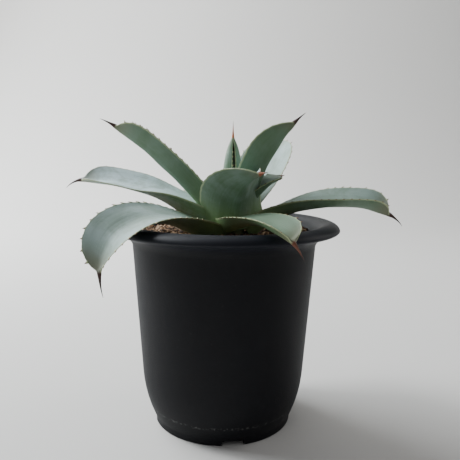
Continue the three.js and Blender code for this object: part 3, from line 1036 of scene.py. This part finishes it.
def leaf_relief(leaf, index, s, u):
    """Slow swells and shallow lengthwise furrows of the blade, in mm."""
    calm = smooth(s / 0.15) * smooth((0.97 - s) / 0.1) * (1 - u * u * 0.7)
    along, across = s * leaf["length"], u * leaf["width"] / 2
    swell = noise.noise(Vector((along / 15, across / 9, 7.3 * index))) * 0.75
    furrow = noise.noise(Vector((along / 30, across / 2.2, 3.1 * index + 5))) * 0.22
    return calm * (swell + furrow)


def mark_leaf(piece, uvs, marks):
    """Gives a leaf's mesh the UV map and attributes that its skin reads."""
    mesh = piece.data
    layer = mesh.uv_layers.new(name="leaf")
    for loop in mesh.loops:
        layer.data[loop.index].uv = uvs[loop.vertex_index]
    for label, values in marks.items():
        mark = mesh.attributes.new(label, "FLOAT", "POINT")
        mark.data.foreach_set("value", values if isinstance(values, list) else [values] * len(mesh.vertices))


# ------------------------------------------------------------------ Geometry Nodes


class Tree:
    """A Geometry Nodes tree with named inputs."""

    def __init__(self, name, inputs):
        self.group = bpy.data.node_groups.new(name, "GeometryNodeTree")
        face = self.group.interface
        face.new_socket("Geometry", in_out="INPUT", socket_type="NodeSocketGeometry")
        face.new_socket("Geometry", in_out="OUTPUT", socket_type="NodeSocketGeometry")
        for label, kind in inputs.items():
            face.new_socket(label, in_out="INPUT", socket_type=kind)
        self.start = self.group.nodes.new("NodeGroupInput")
        self.end = self.group.nodes.new("NodeGroupOutput")

    def node(self, kind, settings=None, inputs=None):
        made = self.group.nodes.new(kind)
        for key, value in (settings or {}).items():
            setattr(made, key, value)
        for key, value in (inputs or {}).items():
            socket = made.inputs[key]
            if isinstance(value, bpy.types.NodeSocket):
                self.group.links.new(value, socket)
            else:
                socket.default_value = value
        return made.outputs

    def given(self, label):
        return self.start.outputs[label]

    def times(self, a, b):
        return self.node("ShaderNodeMath", {"operation": "MULTIPLY"}, {0: a, 1: b})[0]

    def scaled(self, vector, scale):
        return self.node("ShaderNodeVectorMath", {"operation": "SCALE"}, {0: vector, "Scale": scale})[0]

    def finish(self, geometry):
        real = self.node("GeometryNodeRealizeInstances", None, {0: geometry})[0]
        inputs = {"Geometry": real, "Material": self.given("Finish")}
        made = self.node("GeometryNodeSetMaterial", None, inputs)[0]
        self.group.links.new(made, self.end.inputs[0])
        return self.group


def strew(piece, group, values):
    """Adds a tree to a piece and sets its inputs by their identifiers."""
    modifier = piece.modifiers.new(group.name, "NODES")
    modifier.node_group = group
    for item in group.interface.items_tree:
        if item.item_type == "SOCKET" and item.in_out == "INPUT" and item.name in values:
            modifier[item.identifier] = values[item.name]
    piece.data.update()


def grain_tree():
    """Strews rough grains over a ground."""
    tree = Tree("strewn_grains", {
        "Spacing": "NodeSocketFloat", "Grain": "NodeSocketFloat", "Squash": "NodeSocketFloat",
        "Seed": "NodeSocketInt", "Finish": "NodeSocketMaterial",
    })
    spots = tree.node("GeometryNodeDistributePointsOnFaces", {"distribute_method": "POISSON"}, {
        "Mesh": tree.given("Geometry"), "Distance Min": tree.given("Spacing"), "Density Max": 900000.0,
        "Seed": tree.given("Seed"),
    })
    ball = tree.node("GeometryNodeMeshUVSphere", None, {"Segments": 7, "Rings": 4, "Radius": 0.5})[0]
    where = tree.node("GeometryNodeInputPosition")[0]
    lumps = tree.node("ShaderNodeTexNoise", None, {"Vector": where, "Scale": 2.3, "Detail": 1.0})
    pushed = tree.scaled(where, lumps[0])
    rough = tree.node("GeometryNodeSetPosition", None, {"Geometry": ball, "Offset": pushed})[0]
    turn = tree.node("FunctionNodeRandomValue", {"data_type": "FLOAT_VECTOR"}, {
        "Min": (0.0, 0.0, 0.0), "Max": (6.28, 6.28, 6.28), "Seed": tree.given("Seed"),
    })[0]
    shape = tree.node("FunctionNodeRandomValue", {"data_type": "FLOAT_VECTOR"}, {
        "Min": (0.45, 0.5, 0.4), "Max": (1.0, 0.9, 0.75), "Seed": tree.given("Seed"),
    })[0]
    size = tree.scaled(shape, tree.given("Grain"))
    flat = tree.node("ShaderNodeCombineXYZ", None, {"X": 1.0, "Y": 1.0, "Z": tree.given("Squash")})[0]
    size = tree.node("ShaderNodeVectorMath", {"operation": "MULTIPLY"}, {0: size, 1: flat})[0]
    grains = tree.node("GeometryNodeInstanceOnPoints", None, {
        "Points": spots["Points"], "Instance": rough, "Rotation": turn, "Scale": size,
    })[0]
    return tree.finish(grains)


def tooth_tree():
    """Sets a hooked tooth on every point, pointing along its stored directions."""
    tree = Tree("marginal_teeth", {
        "Length": "NodeSocketFloat", "Seed": "NodeSocketInt", "Finish": "NodeSocketMaterial",
    })
    cone = tree.node("GeometryNodeMeshCone", None, {
        "Vertices": 7, "Side Segments": 4, "Radius Top": 0.02, "Radius Bottom": 0.42, "Depth": 1.0,
    })["Mesh"]
    where = tree.node("GeometryNodeInputPosition")[0]
    parts = tree.node("ShaderNodeSeparateXYZ", None, {0: where})
    hook = tree.times(tree.times(parts["Z"], parts["Z"]), 0.38)
    curl = tree.node("ShaderNodeCombineXYZ", None, {"X": hook})[0]
    tooth = tree.node("GeometryNodeSetPosition", None, {"Geometry": cone, "Offset": curl})[0]
    tooth = tree.node("GeometryNodeStoreNamedAttribute", {"data_type": "FLOAT", "domain": "POINT"}, {
        "Geometry": tooth, "Name": "point", "Value": parts["Z"],
    })[0]
    feet = tree.node("GeometryNodeMeshToPoints", None, {"Mesh": tree.given("Geometry")})[0]
    out = tree.node("GeometryNodeInputNamedAttribute", {"data_type": "FLOAT_VECTOR"}, {"Name": "outward"})[0]
    along = tree.node("GeometryNodeInputNamedAttribute", {"data_type": "FLOAT_VECTOR"}, {"Name": "along"})[0]
    turn = tree.node("FunctionNodeAxesToRotation", {"primary_axis": "Z", "secondary_axis": "X"}, {
        "Primary Axis": out, "Secondary Axis": along,
    })[0]
    vary = tree.node("FunctionNodeRandomValue", {"data_type": "FLOAT_VECTOR"}, {
        "Min": (0.8, 0.45, 0.55), "Max": (1.15, 0.6, 1.15), "Seed": tree.given("Seed"),
    })[0]
    size = tree.scaled(vary, tree.given("Length"))
    teeth = tree.node("GeometryNodeInstanceOnPoints", None, {
        "Points": feet, "Instance": tooth, "Rotation": turn, "Scale": size,
    })[0]
    return tree.finish(teeth)


def tooth_piece(name, feet, length, seed, finish):
    """Teeth on (foot, outward, along) triples in the frame's metres."""
    mesh = bpy.data.meshes.new(name)
    mesh.from_pydata([tuple(foot) for foot, _, _ in feet], [], [])
    for label, place in (("outward", 1), ("along", 2)):
        layer = mesh.attributes.new(label, "FLOAT_VECTOR", "POINT")
        layer.data.foreach_set("vector", [number for foot in feet for number in foot[place]])
    piece = new_object(name, mesh)
    strew(piece, tooth_tree(), {"Length": length, "Seed": seed, "Finish": finish})
    settle(piece, name, finish)
    piece.data.shade_smooth()
    return piece


# ------------------------------------------------------------------ panel and running


class AGAVE_PT_panel(bpy.types.Panel):
    """Lists the plant's pieces and their settings"""

    bl_idname = "AGAVE_PT_panel"
    bl_label = "Potted agave"
    bl_space_type = "VIEW_3D"
    bl_region_type = "UI"
    bl_category = "Agave"

    def draw(self, context):
        for operator in OPERATORS:
            self.layout.operator(operator.bl_idname)
        for label, group in SETTINGS.items():
            box = self.layout.box()
            settings = getattr(context.scene, label)
            for setting in group.__annotations__:
                box.prop(settings, setting)


SETTINGS = {
    "agave_stage": AgaveStageSettings,
    "agave_pot": AgavePotSettings,
    "agave_mix": AgaveMixSettings,
    "agave_plant": AgavePlantSettings,
}
OPERATORS = (AGAVE_OT_stage, AGAVE_OT_pot, AGAVE_OT_mix, AGAVE_OT_stem, AGAVE_OT_leaves, AGAVE_OT_core)


def register():
    for group in SETTINGS.values():
        bpy.utils.register_class(group)
    for kind in (*OPERATORS, AGAVE_PT_panel):
        bpy.utils.register_class(kind)
    for label, group in SETTINGS.items():
        setattr(bpy.types.Scene, label, bpy.props.PointerProperty(type=group))


def unregister():
    for label in SETTINGS:
        delattr(bpy.types.Scene, label)
    for kind in (AGAVE_PT_panel, *reversed(OPERATORS), *reversed(SETTINGS.values())):
        bpy.utils.unregister_class(kind)


def main():
    register()
    bpy.ops.agave.stage()
    bpy.ops.agave.pot()
    bpy.ops.agave.mix()
    bpy.ops.agave.stem()
    bpy.ops.agave.leaves()
    bpy.ops.agave.core()


if __name__ == "__main__":
    main()
